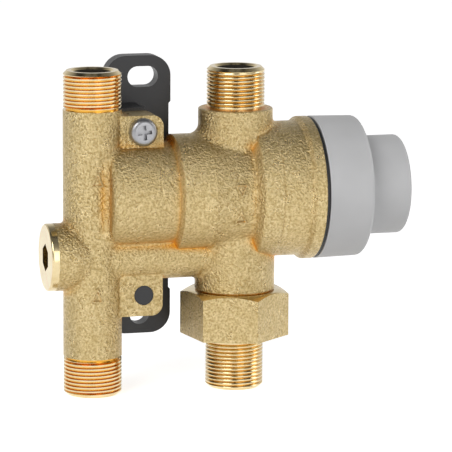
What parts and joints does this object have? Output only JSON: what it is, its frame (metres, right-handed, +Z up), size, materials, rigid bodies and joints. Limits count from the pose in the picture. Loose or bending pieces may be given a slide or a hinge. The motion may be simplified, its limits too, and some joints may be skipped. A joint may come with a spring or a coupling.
{
  "type": "mixing valve",
  "caption": "Brass under-basin mixing valve with a pass-through hot pipe, a union inlet, a threaded outlet, a grey temperature knob and a black wall bracket.",
  "frame": {"origin": "centre of the bracket's back face, on the wall", "axes": "+X along the barrel from the hot pipe to the knob, +Y into the wall, +Z up"},
  "size_m": [0.0905, 0.0367, 0.0814],
  "materials": {
    "cast_brass": "rough, as cast and blasted",
    "turned_brass": "bright, turned",
    "seal_rubber": "matt",
    "check_plastic": "natural acetal",
    "spring_steel": "drawn",
    "strainer_steel": "pressed",
    "shuttle_plastic": "moulded",
    "element_copper": "copper, drawn",
    "seam_plastic": "moulded",
    "knob_plastic": "satin moulded",
    "bracket_plastic": "satin moulded",
    "zinc_steel": "zinc plated"
  },
  "bodies": {
    "valve": {"valve_body": "cast_brass", "access_plug": "turned_brass", "access_plug_oring": "seal_rubber", "hot_check_cage": "check_plastic", "hot_check_spring": "spring_steel", "union_nut": "cast_brass", "tailpiece": "turned_brass", "tailpiece_gasket": "seal_rubber", "cold_check_cage": "check_plastic", "cold_check_spring": "spring_steel", "inlet_strainer": "strainer_steel", "cold_seat_ring": "turned_brass", "return_spring": "spring_steel", "bonnet": "turned_brass", "bonnet_oring": "seal_rubber", "seam_ring": "seam_plastic", "bracket": "bracket_plastic", "bracket_screw": "zinc_steel"},
    "knob_unit": {"knob": "knob_plastic", "knob_screw": "spring_steel", "knob_cap": "knob_plastic", "spindle": "turned_brass", "spindle_oring": "seal_rubber", "spindle_clip": "spring_steel"},
    "pusher_unit": {"pusher": "turned_brass", "overload_clip": "spring_steel", "overload_spring": "spring_steel"},
    "overload_unit": {"overload_cup": "turned_brass", "element_rod": "spring_steel"},
    "shuttle_unit": {"shuttle": "shuttle_plastic", "shuttle_oring": "seal_rubber", "wax_element": "element_copper"},
    "hot_check": {"hot_check_poppet": "check_plastic"},
    "cold_check": {"cold_check_poppet": "check_plastic"}
  },
  "joints": [
    {"name": "knob_turn", "type": "hinge", "parent": "valve", "child": "knob_unit", "pos_m": [0.04485, -0.019, 0.00298], "axis": [1, 0, 0], "range_deg": [-270, 270]},
    {"name": "pusher_travel", "type": "slide", "parent": "valve", "child": "pusher_unit", "axis": [1, 0, 0], "range_m": [-0.00112, 0.00112]},
    {"name": "overload_travel", "type": "slide", "parent": "pusher_unit", "child": "overload_unit", "axis": [1, 0, 0], "range_m": [0, 0.0015], "stiffness_N_per_m": 3000, "springref_m": -0.001, "deforming": ["overload_spring"]},
    {"name": "shuttle_stroke", "type": "slide", "parent": "valve", "child": "shuttle_unit", "axis": [1, 0, 0], "range_m": [-0.00085, 0.00085], "stiffness_N_per_m": 1500, "deforming": ["return_spring"]},
    {"name": "hot_check_travel", "type": "slide", "parent": "valve", "child": "hot_check", "axis": [1, 0, 0], "range_m": [0, 0.0018], "stiffness_N_per_m": 30, "springref_m": -0.003, "deforming": ["hot_check_spring"]},
    {"name": "cold_check_travel", "type": "slide", "parent": "valve", "child": "cold_check", "axis": [0, 0, 1], "range_m": [0, 0.0025], "stiffness_N_per_m": 40, "springref_m": -0.003, "deforming": ["cold_check_spring"]}
  ],
  "couplings": [
    {"joint": "knob_turn", "follows": "pusher_travel", "rad_per_m": 4188.8}
  ]
}
